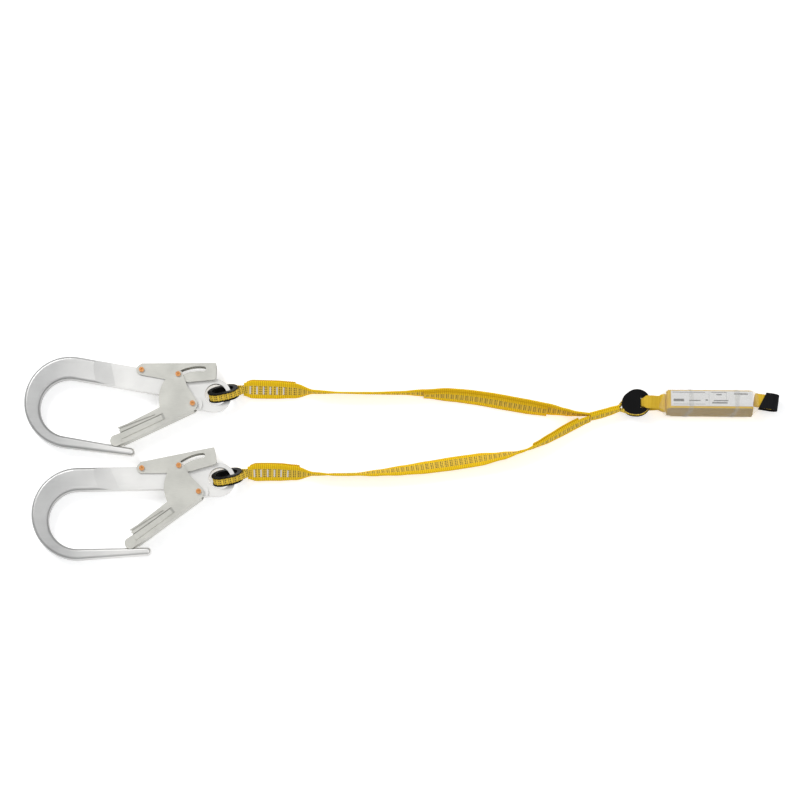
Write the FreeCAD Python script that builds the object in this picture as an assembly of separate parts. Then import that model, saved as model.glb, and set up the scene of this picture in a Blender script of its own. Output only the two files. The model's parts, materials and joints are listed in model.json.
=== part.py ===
import FreeCAD, Part
import math
import os

# Twin-leg shock absorbing lanyard, lying flat. Millimetres, +Z up.
# Origin: middle of the bottom of the whole lanyard. +X runs along its length,
# from the scaffold hooks at -X to the absorber's end loop at +X.

V = FreeCAD.Vector
UP = V(0, 0, 1)

# ---------------------------------------------------------------- driving sizes
HOOK_PLANE_Z = 14.2          # height of the flat hooks' middle plane
EYE_HOLE_R = 13.2
EYE_RIM_R = 20.2
EYE_RIM_X, EYE_RIM_Y = -1.6, -1.2
EYE_HALF = 4.0               # half thicknesses, from the hook's middle plane
SPINE_HALF = 6.5
BEND_HALF = 8.6
SPINE_TOP, SPINE_BOTTOM = 15.7, -12.1
BEND_X = -170.0
BEND_R = 55.3
THROAT_R = 34.8
ARM_TIP_X = -83.0
ARM_TIP_R = 4.4
STEP_X = -44.0               # where the flat eye plate meets the thicker spine
FACET_X = -124.5             # the slope down from the bend to the spine, across it
FACET_RUN = 22.0
FACET_TURN = 21.8
EDGE_ROUND = 3.4

PIVOT = (-25.2, -16.2)       # gate pivot, from the eye's centre
PIN = (-48.5, 15.6)          # gate pin with the gate shut
LEVER_PIVOT = (-92.8, 13.5)
RIVET_R = 2.5
RIVET_HOLE_R = 2.55
RIVET_HEAD_R = 3.1
RIVET_HEAD = 2.4
LEVER_IN, LEVER_OUT = 6.9, 8.9
GATE_IN, GATE_OUT = 9.2, 11.4
BOSS_R = 11.5
WASHER_R = 4.0
LUG_R = 5.0
GATE_OPEN = 33.0             # degrees
LEVER_PER_GATE = 0.08        # lever turn for each degree of gate turn
SLOT_SPARE_DEG = 12.0        # slot past the pin's travel at the open end
WEB_FROM_PIVOT = 8.6         # outer face of the gate's folded web, from the pivot
CHANNEL_DEG = 35.5           # slope of the gate below the spine
SHEET = 2.0
LIP_OUT = 13.2
GROOVE_DEEP = 1.1
NOSE = (-107.4, -76.4)
NOSE_R = 6.8

THIMBLE_WALL = 1.8
EYE_FLANGE = 3.6
WEBBING_T = 2.4              # thickness of one layer
WEBBING_W = 24.0
LAYER_GAP = 0.15

HOOKS = {
    "a": {"eye": (-222.6, 76.8), "turn": -10.05, "leg": 12.0},
    "b": {"eye": (-217.2, -24.6), "turn": 1.15, "leg": 12.0},
}

# Leg routes: x, y, z of the centre line and the roll of the webbing in degrees.
LEG_A = [
    (-189.3, 83.9, 14.2, 36),
    (-172.0, 83.2, 14.0, 38),
    (-152.0, 82.9, 13.6, 40),
    (-130.0, 82.3, 13.2, 52),
    (-104.0, 80.8, 12.8, 92),
    (-74.0, 79.9, 12.6, 99),
    (-36.0, 79.3, 12.5, 97),
    (-2.0, 79.6, 12.5, 93),
    (28.2, 80.0, 12.6, 82),
    (58.2, 78.6, 13.0, 67),
    (88.2, 75.2, 13.2, 63),
    (118.2, 70.0, 13.2, 60),
    (148.2, 64.4, 13.0, 61),
    (176.0, 60.2, 12.8, 68),
    (196.2, 56.4, 12.6, 80),
    (212.0, 54.0, 12.6, 88),
    (226.0, 53.4, 12.6, 92),
]
LEG_B = [
    (-183.9, -17.5, 14.2, 40),
    (-168.0, -16.9, 14.0, 42),
    (-148.0, -16.9, 13.6, 44),
    (-128.0, -17.6, 13.0, 56),
    (-104.0, -18.6, 12.7, 92),
    (-78.0, -19.3, 12.6, 101),
    (-54.0, -19.0, 12.5, 102),
    (-28.0, -17.2, 12.3, 113),
    (2.0, -14.0, 11.6, 124),
    (32.0, -10.2, 10.8, 133),
    (62.0, -5.6, 10.4, 137),
    (92.0, -1.2, 10.6, 135),
    (120.0, 3.2, 11.6, 118),
    (142.2, 7.9, 12.4, 101),
    (160.2, 14.6, 12.6, 92),
    (178.2, 23.6, 12.6, 83),
    (196.2, 34.0, 12.5, 78),
    (213.0, 43.0, 12.5, 76),
    (226.0, 48.4, 12.6, 78),
]
STEM = [
    (226.5, 50.9, 12.6, 80),
    (238.2, 53.6, 12.7, 78),
    (250.2, 57.4, 12.9, 80),
    (261.0, 60.8, 13.2, 86),
]
TAIL_SPAN = (3.0, 62.0)      # turned-back sewn tails, along the legs from the hooks
TACK_START, TACK_PITCH, TACKS = 7.0, 8.0, 6
JOIN_A_SPAN = (216.0, 368.0)
JOIN_B_SPAN = (346.0, 410.0)

CENTRE_THIMBLE = (282.6, 67.2, 15.3)
CENTRE_TURN = 197.0          # the tail points back along the stem
CENTRE_TILT = -12.0
CENTRE_CORE_R = 12.4         # bottom of the webbing's groove
CENTRE_SLOT = (4.0, 11.5, 7.6)  # for the absorber's front loop: near, far, half width
CENTRE_SLOT_FACES = 162.5
CENTRE_FLANGE = 3.6
CENTRE_HALF = 4.6

PACK_TURN = -0.5
PACK_ROLL = -20.0
PACK_START, PACK_END = 34.0, 139.0   # from the centre thimble, along the pack
PACK_W, PACK_H = 25.0, 22.0
PACK_Z = 15.3
END_LEAN_X, END_LEAN, END_SHIFT = 142.0, -8.0, 4.5
FILM = 0.4
LABEL_T = 0.3

PARTS = {}


# ---------------------------------------------------------------- small helpers
def keep(name, shape):
    PARTS[name] = shape


def polar(centre, radius, degrees):
    angle = math.radians(degrees)
    return (centre[0] + radius * math.cos(angle), centre[1] + radius * math.sin(angle))


def flat(point, z=0.0):
    return V(point[0], point[1], z)


def outline(*steps):
    """A closed wire: each step is a point, or ('arc', through, to)."""
    edges = []
    here = steps[0]
    for step in steps[1:]:
        if step[0] == "arc":
            edges.append(Part.Arc(flat(here), flat(step[1]), flat(step[2])).toShape())
            here = step[2]
        else:
            edges.append(Part.LineSegment(flat(here), flat(step)).toShape())
            here = step
    if math.dist(here, steps[0]) > 1e-6:
        edges.append(Part.LineSegment(flat(here), flat(steps[0])).toShape())
    return Part.Wire(edges)


def prism(wire, low, high):
    """A flat outline, raised from z = low to z = high."""
    solid = Part.Face(wire).extrude(V(0, 0, high - low))
    solid.translate(V(0, 0, low))
    return solid


def disc(centre, radius, low, high):
    return Part.makeCylinder(radius, high - low, flat(centre, low))


def both_sides(wire, inner, outer):
    """The same plate on the front and on the back of the middle plane."""
    return [prism(wire, inner, outer), prism(wire, -outer, -inner)]


def circle_hull(circles):
    """A closed outline round circles (x, r) that stand in a row along x."""
    leans = []
    for (x1, r1), (x2, r2) in zip(circles, circles[1:]):
        leans.append(math.degrees(math.acos((r1 - r2) / (x2 - x1))))
    top = []
    for i, ((x, r), lean) in enumerate(zip(circles, leans)):
        top.append(polar((x, 0), r, lean))
        top.append(polar((circles[i + 1][0], 0), circles[i + 1][1], lean))
    first, last = circles[0], circles[-1]
    steps = [top[0]]
    for i, point in enumerate(top[1:]):
        middle = i % 2 == 1
        if middle and math.dist(point, steps[-1]) > 1e-6:
            x, r = circles[(i + 1) // 2]
            through = polar((x, 0), r, (leans[(i - 1) // 2] + leans[(i + 1) // 2]) / 2)
            steps.append(("arc", through, point))
        elif not middle:
            steps.append(point)
    steps.append(("arc", (last[0] + last[1], 0), (top[-1][0], -top[-1][1])))
    lower = [(x, -y) for x, y in reversed(top)]
    for i, point in enumerate(lower[1:]):
        middle = i % 2 == 1
        before = steps[-1][2] if steps[-1][0] == "arc" else steps[-1]
        if middle and math.dist(point, before) > 1e-6:
            k = len(circles) - 1 - (i + 1) // 2
            x, r = circles[k]
            through = polar((x, 0), r, -(leans[k - 1] + leans[k]) / 2)
            steps.append(("arc", through, point))
        elif not middle:
            steps.append(point)
    steps.append(("arc", (first[0] - first[1], 0), top[0]))
    return outline(*steps)


def place(shape, turns, at):
    """Turn a copy about each (axis, degrees) in order, then move it."""
    copy = shape.copy()
    for axis, degrees in turns:
        copy.rotate(V(0, 0, 0), axis, degrees)
    copy.translate(V(*at))
    return copy


# ---------------------------------------------------------------- webbing
def route_wire(points):
    """Straight runs joined by tangent arcs as large as the runs allow, with their radii."""
    spots = [V(*p[:3]) for p in points]
    edges = []
    start = spots[0]
    radii = []
    for before, corner, after in zip(spots, spots[1:], spots[2:]):
        into = (corner - before).normalize()
        out = (after - corner).normalize()
        turn = into.getAngle(out)
        reach = 0.45 * min((corner - before).Length, (after - corner).Length)
        radii.append(reach / math.tan(turn / 2))
        enter = corner - into * reach
        leave = corner + out * reach
        inward = (out - into).normalize()
        middle = corner + inward * (radii[-1] / math.cos(turn / 2) - radii[-1])
        edges.append(Part.LineSegment(start, enter).toShape())
        edges.append(Part.Arc(enter, middle, leave).toShape())
        start = leave
    edges.append(Part.LineSegment(start, spots[-1]).toShape())
    return Part.Wire(edges), radii


def roll_at(points, x):
    """The webbing's roll where the route passes x, eased between its points."""
    for (x1, _, _, r1), (x2, _, _, r2) in zip(points, points[1:]):
        if x <= x2:
            t = max(0.0, (x - x1) / (x2 - x1))
            return r1 + (r2 - r1) * t * t * (3 - 2 * t)
    return points[-1][3]


def strap(points, span=None, offset=0.0, width=WEBBING_W, thick=WEBBING_T, pitch=7.0):
    """Webbing laid along a route and rolled about it. offset moves it along its face."""
    wire = route_wire(points)[0]
    first, last = span or (0.0, wire.Length)
    count = max(3, round((last - first) / pitch))
    spots = wire.discretize(Number=1 + round(wire.Length / 1.0))
    step = wire.Length / (len(spots) - 1)
    stations = []
    for i in range(count + 1):
        k = (first + (last - first) * i / count) / step
        low = min(int(k), len(spots) - 2)
        spot = spots[low] + (spots[low + 1] - spots[low]) * (k - low)
        along = (spots[min(low + 2, len(spots) - 1)] - spots[max(low - 1, 0)]).normalize()
        side = UP.cross(along).normalize()
        lift = along.cross(side)
        roll = math.radians(roll_at(points, spot.x))
        across = side * math.cos(roll) + lift * math.sin(roll)
        face = side * -math.sin(roll) + lift * math.cos(roll)
        centre = spot + face * offset
        corners = [
            centre + across * (u * width / 2) + face * (v * thick / 2)
            for u, v in ((-1, -1), (1, -1), (1, 1), (-1, 1))
        ]
        stations.append(Part.makePolygon(corners + corners[:1]))
    return Part.makeLoft(stations, True, True)


# ---------------------------------------------------------------- hook, in its own frame
def hook_body():
    """Forged body: eye, spine, round bend, lower arm with its tip and nose seat."""
    outer_y = SPINE_TOP - BEND_R
    inner_y = SPINE_BOTTOM - THROAT_R
    arm_top = SPINE_BOTTOM - 2 * THROAT_R
    arm_low = outer_y - BEND_R
    tip = (ARM_TIP_X - ARM_TIP_R, arm_top - ARM_TIP_R)
    bend = outline(
        (STEP_X, SPINE_TOP),
        (BEND_X, SPINE_TOP),
        ("arc", (BEND_X - BEND_R, outer_y), (BEND_X, arm_low)),
        (tip[0], tip[1] - ARM_TIP_R),
        ("arc", (tip[0] + ARM_TIP_R, tip[1]), (tip[0], arm_top)),
        (BEND_X, arm_top),
        ("arc", (BEND_X - THROAT_R, inner_y), (BEND_X, SPINE_BOTTOM)),
        (STEP_X, SPINE_BOTTOM),
    )
    forging = round_long_edges(prism(bend, -BEND_HALF, BEND_HALF))
    # the flat stretch of the spine is thinner, past a slope across it
    drop = BEND_HALF - SPINE_HALF
    corners = ((-FACET_RUN, drop), (0, 0), (150, 0), (150, 9), (-FACET_RUN, 9))
    profile = [V(x, -100, z) for x, z in corners]
    wedge = Part.Face(Part.makePolygon(profile + profile[:1])).extrude(V(0, 150, 0))
    above = place(wedge, [(UP, FACET_TURN)], (FACET_X, 0, SPINE_HALF))
    above = above.common(Part.makeBox(160, 70, 20, V(-150, -40, 0)))
    forging = forging.cut([above, above.mirror(V(0, 0, 0), UP)])
    eye = outline(
        (STEP_X, SPINE_TOP),
        (STEP_X, SPINE_BOTTOM),
        (PIVOT[0] - LUG_R - 4, SPINE_BOTTOM),
        ("arc", polar(PIVOT, LUG_R, 215), (PIVOT[0], PIVOT[1] - LUG_R)),
        (EYE_RIM_X, EYE_RIM_Y - EYE_RIM_R),
        ("arc", (EYE_RIM_X + EYE_RIM_R, EYE_RIM_Y), (EYE_RIM_X, EYE_RIM_Y + EYE_RIM_R)),
        polar((EYE_RIM_X, EYE_RIM_Y), EYE_RIM_R, 118),
        (-20, SPINE_TOP),
    )
    plate = prism(eye, -EYE_HALF, EYE_HALF)
    boss = disc(PIVOT, BOSS_R, -SPINE_HALF, SPINE_HALF)
    boss = boss.common(prism(eye, -SPINE_HALF, SPINE_HALF))
    body = forging.fuse([plate, boss]).removeSplitter()
    holes = [
        disc((0, 0), EYE_HOLE_R, -20, 20),
        disc(PIVOT, RIVET_HOLE_R, -20, 20),
        disc(LEVER_PIVOT, RIVET_HOLE_R, -20, 20),
        disc(NOSE, NOSE_R + 0.5, -20, 20),
        pin_path(PIVOT, PIN, 1.0, -4, GATE_OPEN + 4, -20, 20, lever=False),
    ]
    return body.cut(holes)


def round_long_edges(forging):
    """Soften the long edges of the spine, the bend and the lower arm."""
    picked = []
    for edge in forging.Edges:
        box = edge.BoundBox
        on_face = abs(abs(box.ZMax) - BEND_HALF) < 0.01 and box.ZLength < 0.01
        if on_face and box.XMin < STEP_X - 5:
            picked.append(edge)
    return forging.makeFillet(EDGE_ROUND, picked)


def pin_path(pivot, pin, clearance, first, last, low, high, lever=True):
    """The space the gate pin sweeps, seen from the body or from the lever."""
    reach = math.dist(pivot, pin)
    rest = math.degrees(math.atan2(pin[1] - pivot[1], pin[0] - pivot[0]))
    radius = RIVET_R + clearance
    centres = []
    steps = 8
    for i in range(steps + 1):
        opened = first + (last - first) * i / steps
        spot = polar(pivot, reach, rest - opened)
        if lever:
            arm = math.dist(LEVER_PIVOT, spot)
            lean = math.degrees(math.atan2(spot[1] - LEVER_PIVOT[1], spot[0] - LEVER_PIVOT[0]))
            spot = polar(LEVER_PIVOT, arm, lean + LEVER_PER_GATE * opened)
        centres.append(spot)
    pieces = []
    for a, b in zip(centres, centres[1:]):
        run = math.dist(a, b)
        side = (radius * (a[1] - b[1]) / run, radius * (b[0] - a[0]) / run)
        corners = [(a[0] + side[0], a[1] + side[1]), (b[0] + side[0], b[1] + side[1]),
                   (b[0] - side[0], b[1] - side[1]), (a[0] - side[0], a[1] - side[1])]
        pieces.append(prism(outline(*corners), low, high))
        pieces.append(disc(b, radius, low, high))
    return disc(centres[0], radius, low, high).fuse(pieces).removeSplitter()


def rivet(centre, grip):
    """Hollow headed rivet through everything, grip being its half length."""
    shank = disc(centre, RIVET_R, -grip, grip)
    heads = [
        disc(centre, RIVET_HEAD_R, grip, grip + RIVET_HEAD),
        disc(centre, RIVET_HEAD_R, -grip - RIVET_HEAD, -grip),
    ]
    dimples = [
        disc(centre, 1.4, grip + 0.6, grip + 3),
        disc(centre, 1.4, -grip - 3, -grip - 0.6),
    ]
    return shank.fuse(heads).cut(dimples)


def gate_shell():
    """One pressing: two trigger plates and the folded channel between them."""
    slope = math.radians(CHANNEL_DEG)
    along = (-math.cos(slope), -math.sin(slope))
    away = (math.sin(slope), -math.cos(slope))

    def on_web(distance, depth):
        return (
            PIVOT[0] + away[0] * depth + along[0] * distance,
            PIVOT[1] + away[1] * depth + along[1] * distance,
        )

    far = on_web(96, WEB_FROM_PIVOT)
    plate = outline(
        (-52.6, 19.6),
        ("arc", (-66.2, -6.5), (-64.2, -24.5)),
        (-63.0, -28.0),
        (-106.0, -60.6),
        far,
        on_web(2, WEB_FROM_PIVOT),
        ("arc", polar(PIVOT, 6.4, -20), polar(PIVOT, 6.4, 60)),
        (-35.3, 3.1),
        (-43.6, 17.6),
        ("arc", polar(PIN, 4.9, 80), (-52.6, 19.6)),
    )
    plates = both_sides(plate, GATE_IN, GATE_OUT)
    web = outline(
        on_web(2, WEB_FROM_PIVOT),
        on_web(96, WEB_FROM_PIVOT),
        on_web(96, WEB_FROM_PIVOT - SHEET),
        on_web(2, WEB_FROM_PIVOT - SHEET),
    )
    folded = prism(web, -GATE_OUT, GATE_OUT)
    shell = plates[0].fuse(plates[1:] + [folded])
    # a lip turned outwards along the channel's upper edge, and a groove down each face
    lip = outline(on_web(47, -8.4), on_web(93, -11.6), on_web(93, -10.2), on_web(47, -7.0))
    lips = [prism(lip, GATE_IN, LIP_OUT), prism(lip, -LIP_OUT, -GATE_IN)]
    shell = shell.fuse(lips).removeSplitter()
    grooves = []
    for side in (1, -1):
        floor = outline(on_web(40, 2.6), on_web(94, 2.6), on_web(94, -4.2), on_web(40, -3.4))
        mouth = outline(on_web(37, 3.6), on_web(97, 3.6), on_web(97, -5.4), on_web(37, -4.4))
        floor.translate(V(0, 0, side * (GATE_OUT - GROOVE_DEEP)))
        mouth.translate(V(0, 0, side * (GATE_OUT + 0.05)))
        grooves.append(Part.makeLoft([floor, mouth], True, True))
    shell = shell.cut(grooves)
    return shell.cut([disc(PIVOT, RIVET_HOLE_R, -20, 20), disc(PIN, RIVET_HOLE_R, -20, 20)])


def gate_nose(shell):
    """Rounded block in the channel's end, which rests on the hook's tip."""
    root = (-93.5, -66.4)
    lean = math.atan2(NOSE[1] - root[1], NOSE[0] - root[0])
    side = math.degrees(lean) + 90
    shape = outline(
        polar(root, 5.4, side),
        polar(NOSE, NOSE_R, side),
        ("arc", polar(NOSE, NOSE_R, math.degrees(lean)), polar(NOSE, NOSE_R, side + 180)),
        polar(root, 5.4, side + 180),
    )
    return prism(shape, -GATE_IN, GATE_IN).cut(shell)


def lever_shell():
    """One pressing: two slotted side plates and the thumb bridge over them."""
    end = LEVER_PIVOT
    side = outline(
        (-94.4, 21.0),
        (-7.4, 37.0),
        ("arc", (-5.9, 36.5), (-5.4, 35.1)),
        (-3.4, 19.0),
        ("arc", (-4.5, 16.8), (-7.0, 16.1)),
        (-35.2, 8.4),
        (-62.0, 6.9),
        polar(end, 6.3, -94),
        ("arc", polar(end, 6.3, 180), polar(end, 6.3, 118)),
    )
    plates = both_sides(side, LEVER_IN, LEVER_OUT)
    bridge = outline((-90.0, 21.81), (-7.4, 37.0), (-6.8, 35.0), (-90.0, 19.8))
    roof = prism(bridge, -LEVER_OUT, LEVER_OUT)
    slot = pin_path(PIVOT, PIN, 0.5, -0.6, GATE_OPEN + SLOT_SPARE_DEG, -20, 20)
    return plates[0].fuse([plates[1], roof]).removeSplitter().cut(
        [slot, disc(end, RIVET_HOLE_R, -20, 20)]
    )


def ring(centre, inner, outer, low, high):
    return disc(centre, outer, low, high).cut(disc(centre, inner, low - 1, high + 1))


def gate_spring():
    """Torsion spring on the pivot, behind the body, one leg under the gate."""
    low, high = -GATE_IN + 0.5, -SPINE_HALF - 0.5
    coil = ring(PIVOT, WASHER_R + 0.2, WASHER_R + 1.6, low, high)
    top = PIVOT[1] + WASHER_R + 0.4
    leg = outline((PIVOT[0], top), (PIVOT[0], top + 1.2), (-46.0, top + 1.8), (-46.0, top + 0.6))
    return coil.fuse(prism(leg, low, high)).removeSplitter()


def lever_spring():
    """Compression spring on the spine's top edge, under the thumb bridge."""
    wire_r, coil_r, rise = 0.6, 3.4, 1.75
    helix = Part.makeHelix(rise, 3.2 * rise, coil_r)
    circle = Part.Wire(Part.makeCircle(wire_r, V(coil_r, 0, 0), V(0, 1, 0)))
    coil = Part.Wire(helix.Edges).makePipeShell([circle], True, True)
    coil.rotate(V(0, 0, 0), V(1, 0, 0), -90)
    coil.translate(V(-66.0, SPINE_TOP + wire_r + 0.02, 0))
    return coil


def make_hook(letter, eye, turn):
    shell = gate_shell()
    local = {
        "hook_body": hook_body(),
        "gate_rivet": rivet(PIVOT, GATE_OUT + 0.1),
        "lever_rivet": rivet(LEVER_PIVOT, LEVER_OUT + 0.1),
        "pivot_washers": Part.makeCompound([
            ring(PIVOT, RIVET_HOLE_R, WASHER_R, SPINE_HALF, GATE_IN - 0.1),
            ring(PIVOT, RIVET_HOLE_R, WASHER_R, -GATE_IN + 0.1, -SPINE_HALF),
        ]),
        "gate_shell": shell,
        "gate_nose": gate_nose(shell),
        "gate_pin": rivet(PIN, GATE_OUT),
        "gate_spring": gate_spring(),
        "lever": lever_shell(),
        "lever_spring": lever_spring(),
    }
    for name, shape in local.items():
        spot = (eye[0], eye[1], HOOK_PLANE_Z)
        keep(name + "_" + letter, place(shape, [(UP, turn)], spot))


# ---------------------------------------------------------------- thimbles and their loops
def grooved_ring(circles, wall, flange, half, groove_half, solid=False):
    """Plastic thimble: a channel, open outwards, round a row of circles."""
    def grown(extra):
        return circle_hull([(x, r + extra) for x, r in circles])

    full = prism(grown(wall + flange), -half, half)
    groove = prism(grown(wall + flange + 2), -groove_half, groove_half)
    groove = groove.cut(prism(grown(wall), -groove_half, groove_half))
    if solid:
        return full.cut(groove)
    return full.cut([groove, prism(grown(0), -half - 1, half + 1)])


def webbing_ring(inner, tail, thick, half):
    """Webbing that lies in the groove and closes into a tail at +x."""
    tail_x, tail_r = tail
    hole = circle_hull(inner + [(tail_x, tail_r)])
    skin = circle_hull([(x, r + thick) for x, r in inner] + [(tail_x, tail_r + thick)])
    band = prism(skin, -half, half).cut(prism(hole, -half - 1, half + 1))
    trim = Part.makeBox(40, 80, 40, V(tail_x, -40, -20))
    return band.cut(trim)


def make_eye_end(letter, eye, heading):
    """Thimble through the hook's eye, and the folded webbing round it."""
    open_r = 8.4
    circles = [(4.3, open_r), (14.0, open_r)]
    thimble = grooved_ring(circles, THIMBLE_WALL, EYE_FLANGE, 5.4, 4.3)
    inner = [(x, r + THIMBLE_WALL + 0.05) for x, r in circles]
    loop = webbing_ring(inner, (34.0, 0.4), 2.6, 4.2)
    turns = [(V(1, 0, 0), 90), (V(1, 0, 0), 30), (UP, heading)]
    spot = (eye[0], eye[1], HOOK_PLANE_Z)
    keep("thimble_" + letter, place(thimble, turns, spot))
    keep("eye_loop_" + letter, place(loop, turns, spot))


def make_centre_end():
    core = [(0.0, CENTRE_CORE_R - THIMBLE_WALL), (4.0, CENTRE_CORE_R - THIMBLE_WALL - 1.5)]
    block = grooved_ring(core, THIMBLE_WALL, CENTRE_FLANGE, CENTRE_HALF, 3.7, solid=True)
    near, far, half = CENTRE_SLOT
    slot = prism(outline((near, -half), (20, -half), (20, half), (near, half)), -10, 10)
    slot = slot.common(disc((0, 0), far, -10, 10))
    slot.rotate(V(0, 0, 0), UP, CENTRE_SLOT_FACES)
    inner = [(x, r + THIMBLE_WALL + 0.05) for x, r in core]
    loop = webbing_ring(inner, (22.0, 0.4), 2.6, 3.6)
    turns = [(V(1, 0, 0), -CENTRE_TILT), (UP, CENTRE_TURN)]
    keep("thimble_centre", place(block.cut(slot), turns, CENTRE_THIMBLE))
    keep("stem_loop", place(loop, turns, CENTRE_THIMBLE))


# ---------------------------------------------------------------- absorber, in its own frame
def lying(shape):
    """From the absorber's frame (x along it from the centre thimble) to its place."""
    return place(shape, [(UP, PACK_TURN)], (CENTRE_THIMBLE[0], CENTRE_THIMBLE[1], PACK_Z))


def upright_loop(circles, thick, half_width):
    """A loop of webbing in the x-z plane, closed at its last circle."""
    hole = circle_hull(circles)
    skin = circle_hull([(x, r + thick) for x, r in circles])
    band = prism(skin, -half_width, half_width)
    band = band.cut(prism(hole, -half_width - 1, half_width + 1))
    band.rotate(V(0, 0, 0), V(1, 0, 0), 90)
    return band


def rolled_box(x1, x2, width, height, corner=0.0):
    box = Part.makeBox(x2 - x1, width, height, V(x1, -width / 2, -height / 2))
    if corner:
        long_edges = [e for e in box.Edges if e.BoundBox.XLength > 1]
        box = box.makeFillet(corner, long_edges)
    return box


def leaning(shape):
    """The end loop leaves the pack near its raised edge and leans back."""
    back = place(shape, [], (-END_LEAN_X, 0, 0))
    return place(back, [(UP, END_LEAN)], (END_LEAN_X, END_SHIFT, 0))


def make_absorber():
    roll = [(V(1, 0, 0), PACK_ROLL)]
    inner_start, inner_end = PACK_START, PACK_END
    top_room = LABEL_T + 0.05

    def rolled(shape):
        return lying(place(shape, roll, (0, 0, 0)))

    front = upright_loop([(14.6, 8.0), (27.0, 3.4)], 2.2, 4.5)
    front = front.cut(Part.makeBox(20, 60, 60, V(PACK_START - 0.05, -30, -30)))
    keep("front_loop", lying(front))

    block = rolled_box(inner_start, inner_end, PACK_W, PACK_H)
    keep("tear_webbing", rolled(block))
    hull = rolled_box(inner_start - 5, inner_end - 1, PACK_W + 2 * FILM + 0.1,
                      PACK_H + 2 * FILM + 2 * top_room, 2.0)
    hollow = rolled_box(inner_start - 8, inner_end + 8, PACK_W + 0.1, PACK_H + 2 * top_room)
    keep("clear_wrap", rolled(hull.cut(hollow)))
    label = Part.makeBox(98, PACK_W - 3.0, LABEL_T,
                         V(inner_start + 6, -PACK_W / 2 + 1.5, PACK_H / 2 + 0.02))
    keep("label", rolled(label))
    wide = PACK_W + 2 * FILM
    high = PACK_H + 2 * FILM + 2 * top_room
    bands = []
    for x in (51.0, 101.0):
        outer = rolled_box(x, x + 5, wide + 0.9, high + 0.8, 2.3)
        core = rolled_box(x - 1, x + 6, wide + 0.15, high + 0.05, 2.0)
        bands.append(rolled(outer.cut(core)))
    keep("wrap_bands", Part.makeCompound(bands))

    rear = upright_loop([(142.0, 2.4), (160.5, 5.2)], 2.6, 8.5)
    rear = rear.cut(Part.makeBox(20, 60, 60, V(PACK_END + 1.4 - 20, -30, -30)))
    keep("end_loop", lying(leaning(rear)))
    sleeve = upright_loop([(142.0, 5.05), (160.5, 7.85)], 1.1, 9.6)
    sleeve = sleeve.cut(Part.makeBox(20, 60, 60, V(146.0 - 20, -30, -30)))
    keep("end_sleeve", lying(leaning(sleeve)))


# ---------------------------------------------------------------- the whole lanyard
def bars(points, starts, offset, length=1.8, width=10.0):
    """Bar tack stitching: short raised rows across a doubled stretch."""
    return Part.makeCompound([
        strap(points, (s, s + length), offset, width, 0.5, length / 2) for s in starts
    ])


def make_webbing():
    layer = WEBBING_T + LAYER_GAP
    proud = WEBBING_T / 2 + 0.4
    for label, points in (("leg a", LEG_A), ("leg b", LEG_B), ("stem", STEM)):
        wire, radii = route_wire(points)
        print(label, "length", round(wire.Length, 1), "radii", [round(r) for r in radii])
    keep("leg_a", strap(LEG_A))
    keep("leg_b", strap(LEG_B))
    keep("stem", strap(STEM, width=19.0, thick=5.0))
    keep("sewn_tail_a", strap(LEG_A, TAIL_SPAN, -layer))
    keep("sewn_tail_b", strap(LEG_B, TAIL_SPAN, -layer))
    keep("joint_layer_a", strap(LEG_A, JOIN_A_SPAN, layer))
    keep("joint_layer_b", strap(LEG_B, JOIN_B_SPAN, -layer))
    tack_starts = [TACK_START + TACK_PITCH * i for i in range(TACKS)]
    keep("bar_tacks_a", bars(LEG_A, tack_starts, proud))
    keep("bar_tacks_b", bars(LEG_B, tack_starts, proud))


for hook_letter, hook in HOOKS.items():
    make_hook(hook_letter, hook["eye"], hook["turn"])
    make_eye_end(hook_letter, hook["eye"], hook["leg"])
make_webbing()
make_centre_end()
make_absorber()

whole = Part.makeCompound(list(PARTS.values())).BoundBox
print("box", whole.XMin, whole.XMax, whole.YMin, whole.YMax, whole.ZMin, whole.ZMax)
middle = V(-(whole.XMin + whole.XMax) / 2, -(whole.YMin + whole.YMax) / 2, -whole.ZMin)
os.makedirs("parts", exist_ok=True)
for part_name, part_shape in PARTS.items():
    part_shape.translate(middle)
    if not part_shape.isValid():
        print("NOT VALID", part_name)
    part_shape.exportStep("parts/" + part_name + ".step")
print("moved by", middle, "nodes", len(PARTS))
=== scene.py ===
import json
import math
import bmesh
import bpy
from mathutils import Matrix, Vector, noise


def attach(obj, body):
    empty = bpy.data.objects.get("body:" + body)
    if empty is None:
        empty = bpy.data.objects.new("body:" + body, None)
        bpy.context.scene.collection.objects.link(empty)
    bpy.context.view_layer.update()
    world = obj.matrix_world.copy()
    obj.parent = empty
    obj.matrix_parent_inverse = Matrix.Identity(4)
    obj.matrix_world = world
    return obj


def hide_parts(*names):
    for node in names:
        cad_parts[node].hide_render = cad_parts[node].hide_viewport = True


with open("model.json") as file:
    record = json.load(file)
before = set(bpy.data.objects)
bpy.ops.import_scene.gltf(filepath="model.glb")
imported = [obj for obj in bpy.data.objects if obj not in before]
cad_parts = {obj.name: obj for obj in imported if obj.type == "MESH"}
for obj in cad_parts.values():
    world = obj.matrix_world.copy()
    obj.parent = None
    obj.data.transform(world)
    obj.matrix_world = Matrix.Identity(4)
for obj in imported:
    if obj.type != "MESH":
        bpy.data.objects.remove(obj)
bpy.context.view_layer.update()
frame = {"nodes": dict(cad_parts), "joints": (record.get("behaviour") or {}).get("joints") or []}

# A twin-leg webbing lanyard with two scaffold hooks, lying on a pale table. Metres.

MM = 0.001
nodes = frame["nodes"]
joints = {j["name"]: j for j in frame["joints"]}
centre_at = Vector(joints["absorber_swing"]["pos_m"])     # middle of the centre thimble
eye_at = {x: Vector(joints[f"hook_{x}_swing"]["pos_m"]) for x in "ab"}
# The routes below are counted from the centre of the lanyard's own drawing.
ROUTE_ZERO = centre_at - Vector((282.6, 67.2, 15.3)) * MM

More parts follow.
